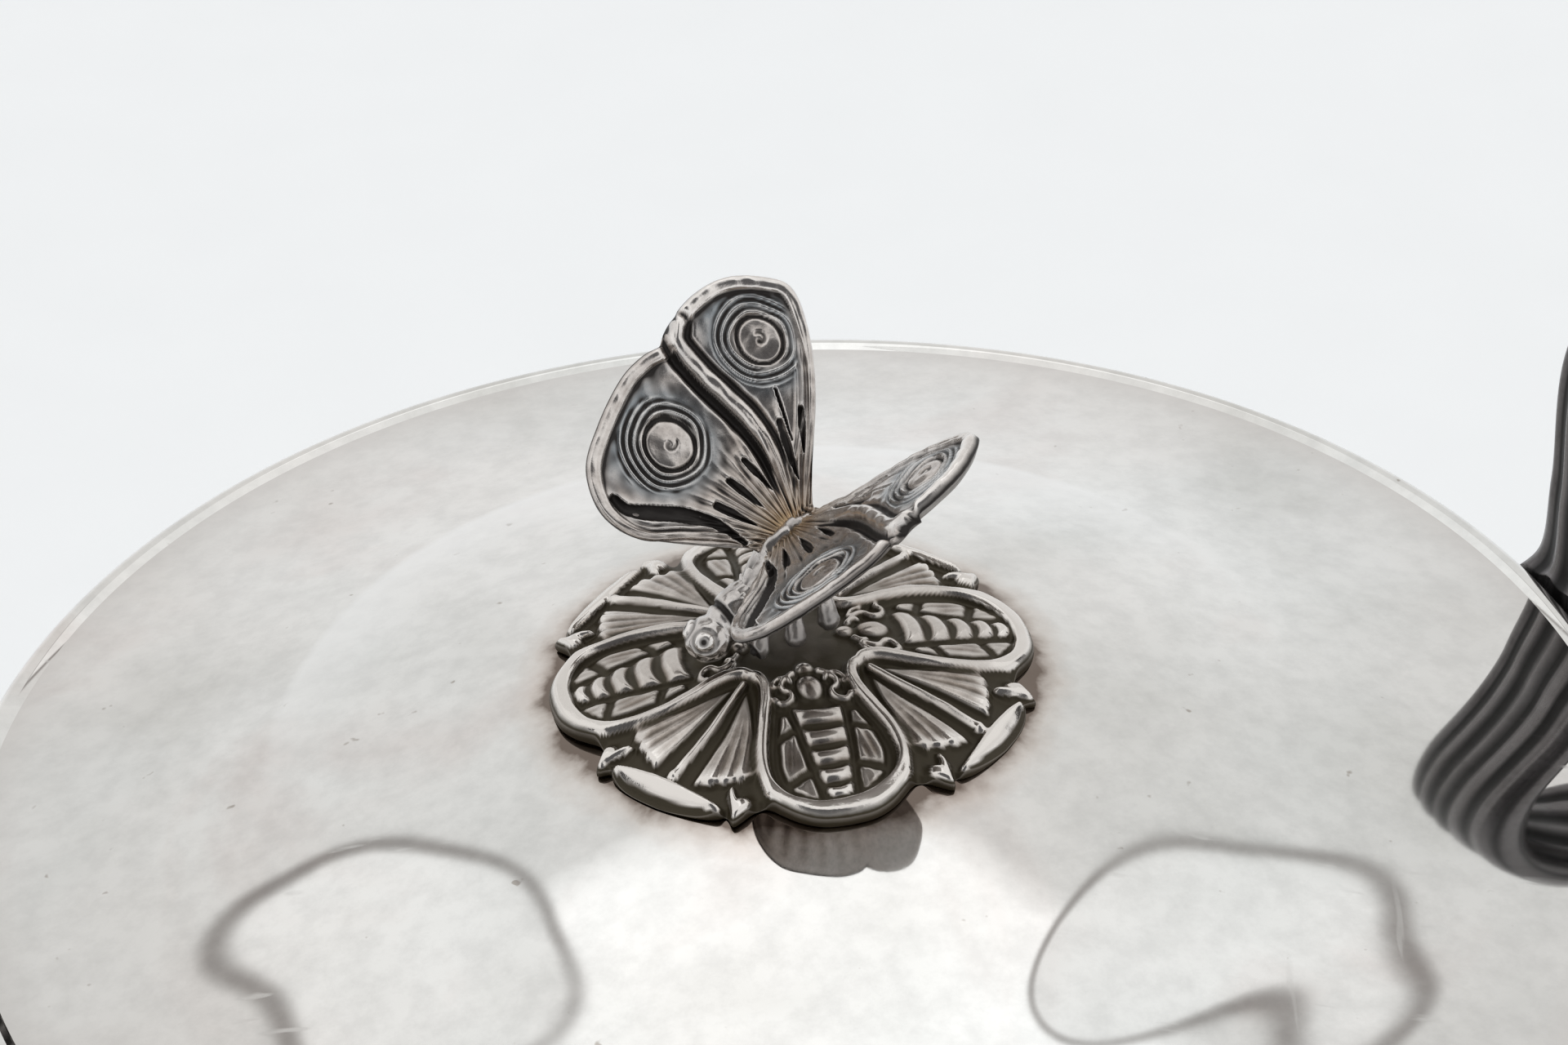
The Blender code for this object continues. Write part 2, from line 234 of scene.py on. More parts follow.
def turned(name, profile, finish, body, node, segments=256, uneven=0.0):
    """A closed profile of (radius, height) points turned about Z; uneven is a depth of waves."""
    profile = np.array(profile + profile[:1])
    angle = around(segments)
    radius = np.repeat(profile[:, :1], segments, axis=1)
    height = np.repeat(profile[:, 1:], segments, axis=1)
    x = radius * np.cos(angle)
    y = radius * np.sin(angle)
    if uneven:
        height = height + waves(x, y, 9, uneven, 0.017) * smooth_step(0.0605, 0.055, radius)
    points = np.stack((x, y, height), axis=2).reshape(-1, 3)
    faces = grid_faces(len(profile), segments, True)
    add_piece(name, points, faces, finish, body, node, sharp=40.0)


def arc(centre, radii, start, end, count):
    """Points on part of a circle or an ellipse, from one angle in degrees to another."""
    radii = np.broadcast_to(radii, 2)
    angles = np.radians(np.linspace(start, end, count))
    return [(centre[0] + radii[0] * math.cos(a), centre[1] + radii[1] * math.sin(a)) for a in angles]


# ---- Materials


class Nodes:
    """A few short ways to add nodes to the shader of a material or a world."""

    def __init__(self, owner, place="Object"):
        owner.use_nodes = True
        self.tree = owner.node_tree
        self.place = self.add("TexCoord", output=place)

    def feed(self, socket, value):
        """Links an input to another node's output, or sets it."""
        if isinstance(value, bpy.types.NodeSocket):
            self.tree.links.new(value, socket)
        elif socket.type == "RGBA":
            socket.default_value = (*value, 1.0)
        else:
            socket.default_value = value

    def add(self, kind, inputs=None, output=0, **settings):
        """Adds a node with its settings and inputs, and returns one of its outputs."""
        node = self.tree.nodes.new("ShaderNode" + kind)
        for setting, value in settings.items():
            setattr(node, setting, value)
        for name, value in (inputs or {}).items():
            self.feed(node.inputs[name], value)
        return node.outputs[output]

    def shade(self, shader, **inputs):
        """Sets or links inputs of the material's or the world's own shader."""
        for name, value in inputs.items():
            self.feed(self.tree.nodes[shader].inputs[name.replace("_", " ")], value)

    def field(self, name):
        """A value stored on the piece's points."""
        return self.add("Attribute", output="Fac", attribute_name=name)

    def noise(self, scale, detail=4.0, roughness=0.5, distortion=0.0, where=None):
        inputs = {"Scale": scale, "Detail": detail, "Roughness": roughness, "Distortion": distortion}
        return self.add("TexNoise", {**inputs, "Vector": where or self.place}, "Fac")

    def ramp(self, value, *stops):
        """A colour or value ramp: stops are (position, value or colour)."""
        output = self.add("ValToRGB", {"Fac": value})
        elements = output.node.color_ramp.elements
        while len(elements) < len(stops):
            elements.new(0.5)
        for element, (position, colour) in zip(elements, stops):
            element.position = position
            element.color = (*(colour if isinstance(colour, tuple) else (colour,) * 3), 1.0)
        return output

    def math(self, operation, first, second=0.5):
        return self.add("Math", {0: first, 1: second}, operation=operation)

    def times(self, first, second):
        return self.math("MULTIPLY", first, second)

    def plus(self, first, second):
        return self.math("ADD", first, second)

    def vector(self, operation, first, second=(0.0, 0.0, 0.0), output="Vector"):
        return self.add("VectorMath", {0: first, 1: second}, output, operation=operation)

    def split(self, vector):
        return self.add("SeparateXYZ", {"Vector": vector}).node.outputs

    def mix(self, share, first, second, blend="MIX"):
        """Mixes two colours by a share."""
        inputs = {0: share, 6: first, 7: second}
        return self.add("Mix", inputs, 2, data_type="RGBA", blend_type=blend)

    def bump(self, height, distance, strength):
        inputs = {"Height": height, "Distance": distance, "Strength": strength}
        return self.add("Bump", inputs, "Normal")


def scratches(nodes, turn, scale, low, high):
    """Fine straight scratches, all in one direction."""
    turned_place = nodes.add("Mapping", {"Vector": nodes.place, "Rotation": (0.0, 0.0, turn)})
    stretched = nodes.add("Mapping", {"Vector": turned_place, "Scale": (0.02, 1.0, 1.0)})
    return nodes.ramp(nodes.noise(scale, 2.0, where=stretched), (low, 0.0), (high, 1.0))


def plate_silver(name, lid=False):
    """Worn, polished sheet silver: clouds of thin tarnish, fine scratches and small stains."""
    material = bpy.data.materials.new(name)
    nodes = Nodes(material)
    clouds = nodes.noise(38.0, 5.0, 0.55, 0.6)
    colour = nodes.ramp(
        clouds,
        (0.30, (0.70, 0.705, 0.68)),
        (0.42, (0.80, 0.805, 0.785)),
        (0.55, (0.87, 0.87, 0.85)),
        (0.70, (0.79, 0.75, 0.725)),
    )
    taller = nodes.add("Mapping", {"Vector": nodes.place, "Scale": (1.0, 1.0, 1.6)})
    warm = nodes.ramp(nodes.noise(17.0, 3.0, 0.5, 0.3, taller), (0.45, 0.0), (0.75, 0.55))
    colour = nodes.mix(warm, colour, (0.80, 0.745, 0.70))
    mottle = nodes.ramp(nodes.noise(420.0, 6.0, 0.65), (0.35, 0.90), (0.6, 1.0))
    colour = nodes.mix(1.0, colour, mottle, "MULTIPLY")
    spots = nodes.ramp(nodes.noise(640.0, 2.0), (0.74, 0.0), (0.79, 0.7))
    colour = nodes.mix(spots, colour, (0.36, 0.32, 0.28))
    if lid:
        # On the lid: a painted reflection band on the far side, a darker brim, and tarnish round the
        # rosette.
        colour = add_fringe(nodes, add_painted_band_and_darker_brim(nodes, colour))
    rough = nodes.ramp(clouds, (0.3, 0.06), (0.62, 0.025))
    lines = scratches(nodes, 0.4, 900.0, 0.66, 0.72)
    worn = nodes.mix(0.5, lines, scratches(nodes, 1.9, 700.0, 0.68, 0.74), "ADD")
    rough = nodes.mix(worn, rough, (0.07, 0.07, 0.07))
    dents = nodes.bump(nodes.noise(70.0, 1.0, 0.4), 0.00012, 0.25)
    nodes.shade(SURFACE, Base_Color=colour, Metallic=1.0, Roughness=rough, Normal=dents)
    return material


def add_painted_band_and_darker_brim(nodes, colour):
    """A painted reflection: a paler band where the dome ends, on the far side. Also a darker, warmer
    brim.
    """
    x, y, _ = nodes.split(nodes.place)
    decimetres = 10.0
    squares = nodes.plus(nodes.times(x, x), nodes.times(y, y))
    radius = nodes.times(nodes.math("SQRT", squares), decimetres)
    band = nodes.ramp(radius, (0.31, 0.0), (0.375, 0.55), (0.385, 0.65), (0.389, 0.0))
    far = nodes.ramp(nodes.times(y, decimetres), (0.05, 0.0), (0.25, 1.0))
    colour = nodes.mix(nodes.times(band, far), colour, (0.92, 0.92, 0.91))
    brim = nodes.ramp(radius, (0.40, 0.0), (0.57, 0.22), (0.61, 0.65))
    return nodes.mix(brim, colour, (0.64, 0.605, 0.58))


def add_fringe(nodes, colour):
    """Brown tarnish in the corner round the rosette, where polish doesn't reach."""
    moved = nodes.vector("SUBTRACT", nodes.place, (ROSETTE_OFFSET.x, ROSETTE_OFFSET.y, 0.0))
    flat = nodes.vector("MULTIPLY", moved, (1.0, 1.0, 0.0))
    radius = nodes.vector("LENGTH", flat, output="Value")
    ragged = nodes.noise(330.0, 4.0, 0.55, 0.2)
    radius = nodes.plus(radius, nodes.times(nodes.math("SUBTRACT", ragged, 0.5), 0.003))
    away = nodes.times(nodes.math("SUBTRACT", radius, ROSETTE_RADIUS * MM), 330.0)
    stain = nodes.ramp(away, (0.0, 0.85), (0.2, 0.5), (0.5, 0.18), (1.0, 0.0))
    brown = nodes.ramp(away, (0.0, (0.10, 0.055, 0.03)), (0.5, (0.46, 0.30, 0.20)))
    return nodes.mix(stain, colour, brown)


def cast_silver(name, pale, tones, deep):
    """Cast silver under patina. Points carry how recessed, polished, warm and cool they are. Recessed
    points darken: patina in the hollows, and painted shadow where the pieces set it.
    """
    material = bpy.data.materials.new(name)
    nodes = Nodes(material)
    tone = nodes.ramp(nodes.noise(130.0, 5.0, 0.6, 0.5), *zip((0.30, 0.5, 0.7), tones))
    grain = nodes.noise(1900.0, 4.0, 0.7)
    tone = nodes.mix(1.0, tone, nodes.ramp(grain, (0.3, 0.72), (0.62, 1.05)), "MULTIPLY")
    tone = nodes.mix(nodes.times(nodes.field("cool"), 0.75), tone, (0.20, 0.24, 0.27))
    tone = nodes.mix(nodes.times(nodes.field("warm"), 0.85), tone, (0.62, 0.42, 0.22))
    edge = nodes.plus(nodes.field("polish"), nodes.times(grain, 0.2))
    edge = nodes.ramp(edge, (0.12, 0.0), (1.0, 1.0))
    # Darkening by recess: patina in the hollows, and painted shadow on the rosette's side wall and the
    # wings' deepest relief.
    hollow = nodes.plus(nodes.field("recess"), nodes.times(grain, 0.16))
    hollow = nodes.ramp(hollow, (0.10, 0.0), (0.75, 1.0))
    colour = nodes.mix(hollow, nodes.mix(edge, tone, pale), deep)
    metal = nodes.ramp(hollow, (0.0, 1.0), (1.0, 0.45))
    rough = nodes.mix(hollow, nodes.ramp(edge, (0.0, 0.25), (1.0, 0.12)), (0.5, 0.5, 0.5))
    pits = nodes.bump(grain, 0.00005, 0.35)
    nodes.shade(SURFACE, Base_Color=colour, Metallic=metal, Roughness=rough, Normal=pits)
    return material


def white_paper():
    """Smooth paper with a faint glow."""
    material = bpy.data.materials.new("white_paper")
    nodes = Nodes(material)
    fibre = nodes.noise(60.0, 4.0)
    colour = nodes.ramp(fibre, (0.3, (0.92, 0.935, 0.945)), (0.7, (0.935, 0.95, 0.96)))
    glow = (0.96, 0.98, 0.99)
    nodes.shade(
        SURFACE, Base_Color=colour, Roughness=0.8, Emission_Color=glow, Emission_Strength=0.11
    )
    return material


# ---- Bowl, foot and lid


def lid_height(radius):
    """How high the lid's outer surface is at a radius."""
    fall = np.exp(-((radius / LID_DOME_RADIUS) ** 2))
    at_edge = math.exp(-((LID_RADIUS / LID_DOME_RADIUS) ** 2))
    return LID_EDGE + LID_EDGE_RISE + LID_RISE * (fall - at_edge) / (1.0 - at_edge)


def make_lid(plate, finish):
    outer = np.linspace(HOLE_RADIUS, LID_RADIUS, 130)
    inner = np.linspace(LID_RADIUS, HOLE_RADIUS, 30)
    profile = [(r, lid_height(r)) for r in outer]
    profile += [(r, lid_height(r) - LID_WALL) for r in inner]
    turned("domed_lid", profile, finish, "lid", "lid_shell", segments=448, uneven=0.00003)
    wire = [(LID_RADIUS - 0.0003, LID_EDGE + 0.3 * WIRE_HALF)]
    wire += arc((WIRE_HIGH.x - WIRE_HALF, LID_EDGE), WIRE_HALF, 125, -90, 20)
    wire += [(LID_RADIUS - 0.0003, LID_EDGE - WIRE_HALF)]
    turned("lid_edge_wire", wire, plate, "lid", "lid_rim_wire", segments=448)

    low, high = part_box("lid_bezel")
    wall = 0.0010
    collar = [(high.x, high.z)]
    collar += arc((high.x - 0.0004, low.z + 0.0004), 0.0004, 0, -90, 6)
    collar += arc((high.x - wall + 0.0003, low.z + 0.0003), 0.0003, 270, 180, 5)
    collar += [(high.x - wall, high.z)]
    turned("lid_collar", collar, plate, "lid", "lid_bezel")


def bowl_profile():
    """The bowl's section: an ellipsoid under a short neck, with a rounded lip."""
    low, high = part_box("bowl_shell")
    wall = 0.0011
    lip = wall / 2
    outside = arc((0.0, BOWL_NECK), (high.x, BOWL_NECK - low.z), -89.7, 0, 70)
    inside = arc((0.0, BOWL_NECK), (high.x - wall, BOWL_NECK - low.z - wall), 0, -89.7, 50)
    rim = arc((high.x - lip, high.z - lip), lip, 0, 180, 9)
    return outside + rim + inside


def make_bowl(plate):
    turned("raised_bowl", bowl_profile(), plate, "bowl", "bowl_shell", segments=384)
    low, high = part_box("bowl_rim_moulding")
    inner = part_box("bowl_shell")[1].x + 0.0001
    step = (high.z - low.z) / 5.5
    section = [(inner, high.z)]
    section += arc((high.x - step, high.z - step), step, 85, -50, 12)
    section += arc((high.x - 0.4 * step, low.z + 2.55 * step), (0.9 * step, 0.95 * step), 130, 230, 10)
    section += arc((high.x - 1.5 * step, low.z + 0.95 * step), (0.95 * step, 0.8 * step), 70, -90, 12)
    section += [(inner, low.z)]
    turned("rim_moulding", section, plate, "bowl", "bowl_rim_moulding")


def make_foot(plate):
    low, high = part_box("foot_shell")
    waist = 0.0070
    wall = 0.0010
    bottom = low.z + wall
    tall = high.z - 0.0020 - bottom
    spread = high.x - waist

    def flare(offset, start, end, count):
        centre = (waist + spread, bottom + tall)
        return arc(centre, (spread + offset, tall + offset), start, end, count)

    profile = [(HOLE_RADIUS, high.z), (waist - 0.0006, high.z)]
    profile += arc((waist - 0.0006, high.z - 0.0006), 0.0006, 60, 0, 4)
    profile += flare(0.0, 180, 270, 60)
    profile += [(waist + spread, low.z + 0.0001)]
    profile += flare(wall, 268, 180, 60)
    profile += [(waist - wall, high.z - wall), (HOLE_RADIUS, high.z - wall)]
    turned("trumpet_foot", profile, plate, "bowl", "foot_shell")

    low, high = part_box("foot_ring")
    inner = high.x - 0.0055
    ring = [(inner, high.z)]
    ring += [(high.x - 0.0028, high.z)]
    ring += arc((high.x - 0.0024, high.z - 0.0006), (0.0009, 0.0006), 80, 0, 6)
    ring += arc((high.x - 0.0010, low.z + 0.0011), (0.0010, 0.0011), 75, -90, 14)
    ring += [(inner, low.z)]
    turned("foot_moulding", ring, plate, "bowl", "foot_ring")

    low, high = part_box("stem_knop")
    middle = (low.z + high.z) / 2
    neck = 0.0055
    ball = 0.0028
    knop = [(HOLE_RADIUS, high.z), (neck + 0.0006, high.z)]
    knop += arc((neck + 0.0006, high.z - 0.0005), 0.0005, 80, -50, 6)
    knop += arc((high.x - ball, middle), (ball, 0.0021), 70, -70, 20)
    knop += arc((neck + 0.0006, low.z + 0.0005), 0.0005, 50, -80, 6)
    knop += [(HOLE_RADIUS, low.z)]
    turned("knop_bead", knop, plate, "bowl", "stem_knop")


# ---- Studs, washers and nuts


def threaded_stud(name, node, body, finish):
    """A stud with a fine thread and chamfered ends."""
    low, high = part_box(node)
    depth = 0.0002
    pitch = 0.0005
    columns = 48
    rows = int((high.z - low.z) / pitch * 12)
    angle = around(columns)
    height = np.linspace(low.z, high.z, rows)[:, None] * np.ones((1, columns))
    phase = height / pitch - angle / TURN
    groove = 2 * np.abs(phase - np.floor(phase) - 0.5)
    chamfer = np.minimum(height - low.z, high.z - height)
    radius = high.x - depth * groove - unit(0.0004 - chamfer)
    shaft = np.stack((radius * np.cos(angle), radius * np.sin(angle), height), axis=2)
    ends = [np.tile((0.0, 0.0, z), (1, columns, 1)) for z in (low.z, high.z)]
    points = np.concatenate((ends[0], shaft, ends[1])).reshape(-1, 3)
    faces = grid_faces(rows + 2, columns, True)
    add_piece(name, points, faces, finish, body, node, sharp=50.0)


def flat_washer(name, node, body, finish):
    low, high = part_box(node)
    edge = 0.0002
    section = [(HOLE_RADIUS, low.z), (HOLE_RADIUS, high.z)]
    section += arc((high.x - edge, high.z - edge), edge, 90, 0, 5)
    section += arc((high.x - edge, low.z + edge), edge, 0, -90, 5)
    turned(name, section, finish, body, node, segments=96)


def hexagon_nut(name, node, body, finish):
    """A nut with its corners turned off at both faces, and a threaded bore."""
    low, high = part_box(node)
    columns = 96
    angle = around(columns)
    flats = high.x * math.cos(math.pi / 6)
    from_flat = (angle % (math.pi / 3)) - math.pi / 6
    hexagon = flats / np.cos(from_flat)
    chamfer = ((0.0, 0.96), (0.0003, 1.06), (0.0005, 1.2))
    rings = [(low.z + inset, np.minimum(hexagon, flats * limit)) for inset, limit in chamfer]
    rings += [(high.z - inset, np.minimum(hexagon, flats * limit)) for inset, limit in chamfer[::-1]]
    turns = 40
    for i in range(turns + 1):
        height = high.z + (low.z - high.z) * i / turns
        bore = HOLE_RADIUS - 0.00012 * (i % 2) + 0.0002 * (i in (0, turns))
        rings.append((height, np.full(columns, bore)))
    rings.append(rings[0])
    points = [
        np.stack((radius * np.cos(angle), radius * np.sin(angle), np.full(columns, height)), axis=1)
        for height, radius in rings
    ]
    faces = grid_faces(len(rings), columns, True)
    add_piece(name, np.vstack(points), faces, finish, body, node, sharp=30.0)


# ---- Rosette: four petals, each with a bee, and between them fans under a crescent

PETAL_LINE = (
    (3.82, 3.82), (4.25, 3.33), (5.2, 3.15), (6.6, 3.45), (8.2, 4.05), (10.4, 4.65),
    (12.6, 4.85), (14.4, 4.55), (15.7, 3.75), (16.55, 2.45), (16.95, 1.15), (17.05, 0.0),
)
BAR_ENDS = (7.9, 9.9, 11.8, 13.5, 15.0, 16.25)
ANTENNA = ((4.3, 0.9), (5.0, 1.75), (5.7, 2.0), (6.3, 1.5), (6.9, 1.6), (7.2, 2.3), (6.8, 2.8))
BEE_LEG = ((5.1, 1.2), (4.6, 1.7), (4.9, 2.35), (5.5, 2.55))
RIB = ((6.3, 0.0), (15.6, 0.0))
FAN_APEX = (6.4, 0.35)
FAN_INNER = math.radians(7.5)
FAN_OUTER = math.radians(36.5)
FAN_PLEATS = 4
FLUKE_HOOK = ((15.1, 16.2), (15.9, 17.0), (16.5, 18.8), (16.7, 22.8))
FLUKE_SPIKE = ((16.3, 19.8), (17.2, 19.0), (17.9, 18.5))
CRESCENT_REACH = 18.2
ROSETTE_EDGE = (
    (0.0, 17.6), (6.0, 17.5), (11.0, 17.05), (15.0, 16.45), (18.0, 16.0), (20.5, 15.95),
    (23.0, 16.5), (25.2, 17.35), (26.5, 17.7), (27.8, 17.2), (28.8, 16.95), (30.5, 17.25),
    (35.0, 17.5), (45.0, 17.6),
)


def polar(points):
    """Points given as (radius, degrees from the diagonal) in the diagonal's own frame."""
    return [(r * math.cos(math.radians(a)), r * math.sin(math.radians(a))) for r, a in points]


def bee_relief(along, off):
    """A bee on a petal, its head towards the centre: along is the way out, off to one side."""
    width = np.interp(along, (8.0, 16.3), (1.85, 0.85))
    across = np.sqrt(unit(1.0 - (off / width) ** 2))
    bent = along + 0.35 * (off / width) ** 2
    share = np.interp(bent, BAR_ENDS, range(len(BAR_ENDS)))
    ridge = unit(1.7 * np.sin(math.pi * (share % 1.0)) - 0.45)
    inside = (bent > BAR_ENDS[0]) & (bent < BAR_ENDS[-1]) & (off < width)
    height = np.where(inside, -0.68 + 0.52 * across**0.7 * ridge, GROUND)

    for middle, radii, top in ((5.9, (1.35, 1.0), -0.32), (3.9, (0.75, 0.7), -0.45)):
        ball = 1.0 - ((along - middle) / radii[0]) ** 2 - (off / radii[1]) ** 2
        height = np.maximum(height, bead(unit(ball), top))
    for line, width in ((ANTENNA, 0.30), (BEE_LEG, 0.24)):
        height = np.maximum(height, bead(stroke(along, off, line, (width, width)), -0.38))
        end = np.hypot(along - line[-1][0], off - line[-1][1]) / (width * 1.35)
        height = np.maximum(height, bead(unit(1 - end**2), -0.30))

    inner = np.interp(along, (8.0, 16.0), (2.25, 1.25))
    outer = np.interp(along, (8.0, 10.0, 12.5, 14.5, 16.0), (2.85, 3.45, 3.7, 3.35, 1.9))
    margin = np.minimum(off - inner, outer - off)
    for gap in (10.0, 13.9):
        margin = np.minimum(margin, np.abs(along - gap - 0.45 * (off - 2.7)) - 0.13)
    margin = np.minimum(margin, np.minimum(along - 8.2, 15.9 - along))
    veins = 0.05 * np.cos(TURN * (off - 0.16 * along) / 0.62)
    wing = GROUND + (0.42 + veins) * smooth_step(0.0, 0.22, margin)
    return np.maximum(height, wing)


def gap_relief(along, off, radius, angle):
    """What fills the gap between two petals: a rib, two fans, a crescent and its flukes."""
    height = bead(stroke(along, off, RIB, (0.30, 0.36, 0.40)), -0.12)
    knob = np.hypot(along - RIB[1][0], off) / 0.55
    height = np.maximum(height, bead(unit(1 - knob**2), -0.02))

    reach = np.hypot(along - FAN_APEX[0], off - FAN_APEX[1])
    turn = np.arctan2(off - FAN_APEX[1], along - FAN_APEX[0])
    share = (turn - FAN_INNER) / (FAN_OUTER - FAN_INNER)
    pleat = np.abs(np.cos(math.pi * FAN_PLEATS * unit(share)))
    end = 9.15 - 1.15 * share + 0.20 * pleat
    margin = np.minimum(reach * np.sin(turn - FAN_INNER), reach * np.sin(FAN_OUTER - turn))
    margin = np.minimum(margin, (end - reach) * 1.5)
    rise = unit(reach / 9.0)
    fan = -0.62 + 0.34 * rise**2 + 0.30 * rise * (pleat**0.6 - 0.6)
    height = np.maximum(height, GROUND + (fan - GROUND) * smooth_step(0, 0.2, margin))

    bow = unit(1.0 - (angle / CRESCENT_REACH) ** 2)
    inner = 17.35 - 1.45 * bow**0.7
    width = 17.75 - inner
    face = unit((radius - inner) / width)
    boat = GROUND * smooth_step(0.30, 0, radius - inner)
    boat = boat - 0.10 * face - 0.70 * smooth_step(0.45, 1.0, face)
    height = np.maximum(height, np.where((radius > inner) & (bow > 0), boat, GROUND))
    hook = bead(stroke(along, off, polar(FLUKE_HOOK), (0.16, 0.38, 0.58, 0.50)), -0.08)
    spike = bead(stroke(along, off, polar(FLUKE_SPIKE), (0.75, 0.62, 0.30)), -0.10)
    return np.maximum(height, np.maximum(hook, spike))


def rosette_relief(x, y):
    """Height of the rosette's relief under the dome that its highest lines touch."""
    x, y = x + waves(x, y, 5, 0.09, 11.0), y + waves(x, y, 6, 0.09, 11.0)
    radius = np.hypot(x, y)
    theta = np.arctan2(y, x)
    petal = (theta + math.pi / 4) % (math.pi / 2) - math.pi / 4
    gap = theta % (math.pi / 2) - math.pi / 4
    along, off = radius * np.cos(petal), np.abs(radius * np.sin(petal))
    height = bee_relief(along, off)
    diagonal = (radius * np.cos(gap), np.abs(radius * np.sin(gap)))
    between = gap_relief(*diagonal, radius, np.degrees(np.abs(gap)))
    distance, _, side = measure(along, off, smooth_line(PETAL_LINE, 10))
    height = np.where(side > 0, between, height)
    width = 0.56 + 0.40 * smooth_step(13.2, 16.6, along)
    tip = smooth_step(13.5, 16.0, along)
    border = GROUND * smooth_step(width - 0.34, width + 0.16, distance)
    border = border - 0.06 * (1 - tip) * smooth_step(0.26, 0.0, distance)
    return np.maximum(height, border)


def rosette_edge(theta):
    """The rosette's outline: its radius, petal by petal."""
    petal = np.abs((theta + math.pi / 4) % (math.pi / 2) - math.pi / 4)
    degrees, radii = smooth_line(ROSETTE_EDGE, 8).T
    uneven = 0.05 * np.sin(3 * theta + 1.0) + 0.04 * np.sin(7 * theta)
    return np.interp(np.degrees(petal), degrees, radii) + uneven


def hollow_and_crest(height, wrap, rounds=(6, 30), scale=0.16):
    """How far each point lies below, and above, what is round it, from 0 to 1."""
    near = height - blurred(height, rounds[0], wrap)
    wide = height - blurred(height, rounds[1], wrap)
    lift = (near + wide) / scale
    return unit(-lift), unit(lift)


def make_rosette(finish):
    columns = 640
    rows = 128
    theta = around(columns)[None, :]
    share = np.linspace(0.02, 1.0, rows)[:, None]
    edge = rosette_edge(theta)
    radius = share * edge
    x = radius * np.cos(theta)
    y = radius * np.sin(theta)
    relief = blurred(rosette_relief(x, y), 2, True)
    rounding = unit(1.0 - (edge - radius) / 0.45)
    relief = relief - 0.42 * rounding**2 + waves(x, y, 3, 0.012, 2.2)
    recess, polish = hollow_and_crest(relief, True)
    depth = smooth_step(-0.45, -0.90, relief) * (0.62 + 0.38 * smooth_step(2.5, 6.0, radius))
    recess = unit(0.75 * recess + 0.95 * depth)
    outer = smooth_step(13.5, 16.3, radius) * smooth_step(-0.75, -0.25, relief)
    polish = unit(0.50 * polish + 0.10 * smooth_step(-0.5, 0.0, relief) + 0.9 * outer)

    height = ROSETTE_CROWN + (relief - ROSETTE_DOME * (radius / ROSETTE_RADIUS) ** 2) * MM
    rings = [(radius, height, recess, polish)]

    def add_ring(reach, level, dark, bright):
        flat = np.ones(reach.shape)
        rings.append((reach, level, dark * flat, bright * flat))

    base = lid_height(edge * MM) + 0.00005
    # The side wall down to the lid: painted shadow, darker and less polished towards the bottom.
    for drop, swell in ((0.15, 0.05), (0.35, 0.09), (0.6, 0.10), (0.85, 0.08), (1.0, 0.02)):
        level = height[-1:] * (1 - drop) + base * drop
        add_ring(edge + swell, level, 0.35 + 0.6 * drop, 0.25 * (1 - drop))
    # The underside, lying on the lid: painted fully dark, as shade.
    for inward in np.linspace(0.9, 0.0, 8):
        add_ring(edge * inward, lid_height(edge * inward * MM) + 0.00012, 1.0, 0.0)
    radius, height, recess, polish = (np.vstack(values) for values in zip(*rings))
    x = ROSETTE_OFFSET.x + radius * np.cos(theta + ROSETTE_TURN) * MM
    y = ROSETTE_OFFSET.y + radius * np.sin(theta + ROSETTE_TURN) * MM
    points = np.stack((x, y, height), axis=2).reshape(-1, 3)
    faces = [*grid_faces(len(x), columns, True), np.arange(columns)[::-1]]
    fields = {"recess": recess, "polish": polish}
    add_piece("bee_rosette", points, faces, finish, "lid", "rosette", fields)


# ---- Butterfly wings: out from the body and forwards, in millimetres

FORE_EDGE = (
    (0.1, 3.7), (1.8, 4.8), (3.8, 7.1), (5.8, 9.7), (8.9, 10.7), (12.1, 9.5), (14.1, 6.7),
    (15.6, 3.4), (15.95, 1.1), (15.7, -0.4),
)
HIND_EDGE = (
    (15.7, -0.4), (16.5, -1.8), (17.05, -4.6), (16.5, -7.4), (14.3, -9.9), (12.4, -10.4),
    (9.0, -8.9), (5.6, -6.4), (2.3, -3.3), (0.35, -1.45),
)
ROOT_REAR = (-0.25, -1.4)
ROOT_FRONT = (-0.25, 3.6)
DIVIDE = (
    (0.2, -0.15), (1.2, -0.5), (4.5, -1.7), (7.3, -2.1), (9.8, -1.95), (12.5, -1.6), (15.0, -1.5),
    (16.0, -2.2),
)
FORE_CHANNEL = (
    (1.05, 4.0), (3.4, 4.7), (5.2, 6.0), (6.7, 7.6), (8.1, 9.0), (9.3, 9.25),
)
WING_THICKNESS = 0.75


def eye_relief(u, w, centre, disc, reach, curl):
    """An eye: a disc with a curl on it, inside rings that fade outwards to its reach each way."""
    du, dw = u - centre[0], w - centre[1]
    mean = (disc[0] + disc[1]) / 2
    rho = np.hypot(du * mean / disc[0], dw * mean / disc[1])
    angle = np.arctan2(dw, du)
    extent = np.interp(
        np.degrees(angle), (-180, -90, 0, 90, 180), (reach[2], reach[3], reach[0], reach[1], reach[2])
    )
    outside = smooth_step(mean + 0.05, mean + 0.35, rho)
    fade = smooth_step(extent, extent - 0.8, rho)
    drift = 0.15 * np.sin(angle * 2 + curl) + 0.13 * np.sin(angle - curl) + 0.05 * np.sin(angle * 5)
    rings = np.cos(TURN * (rho + drift - mean - 0.32) / 0.54)
    height = 0.13 * (rings + 0.35 * rings**2) * fade * outside
    height -= 0.24 * np.exp(-(((rho - mean) / 0.15) ** 2))
    height += 0.16 * unit(1.0 - (rho / mean) ** 2)
    turn = np.linspace(0, 1.25 * math.pi, 12)
    bend = np.stack((np.cos(turn + curl), np.sin(turn + curl)), 1) * (0.08 + 0.13 * turn)[:, None]
    height -= 0.13 * np.sqrt(stroke(u, w, bend + centre, (0.20, 0.16, 0.10), 3))
    halo = smooth_step(mean, mean + 0.8, rho) * smooth_step(extent + 1.3, extent - 0.4, rho)
    return height, rho, halo


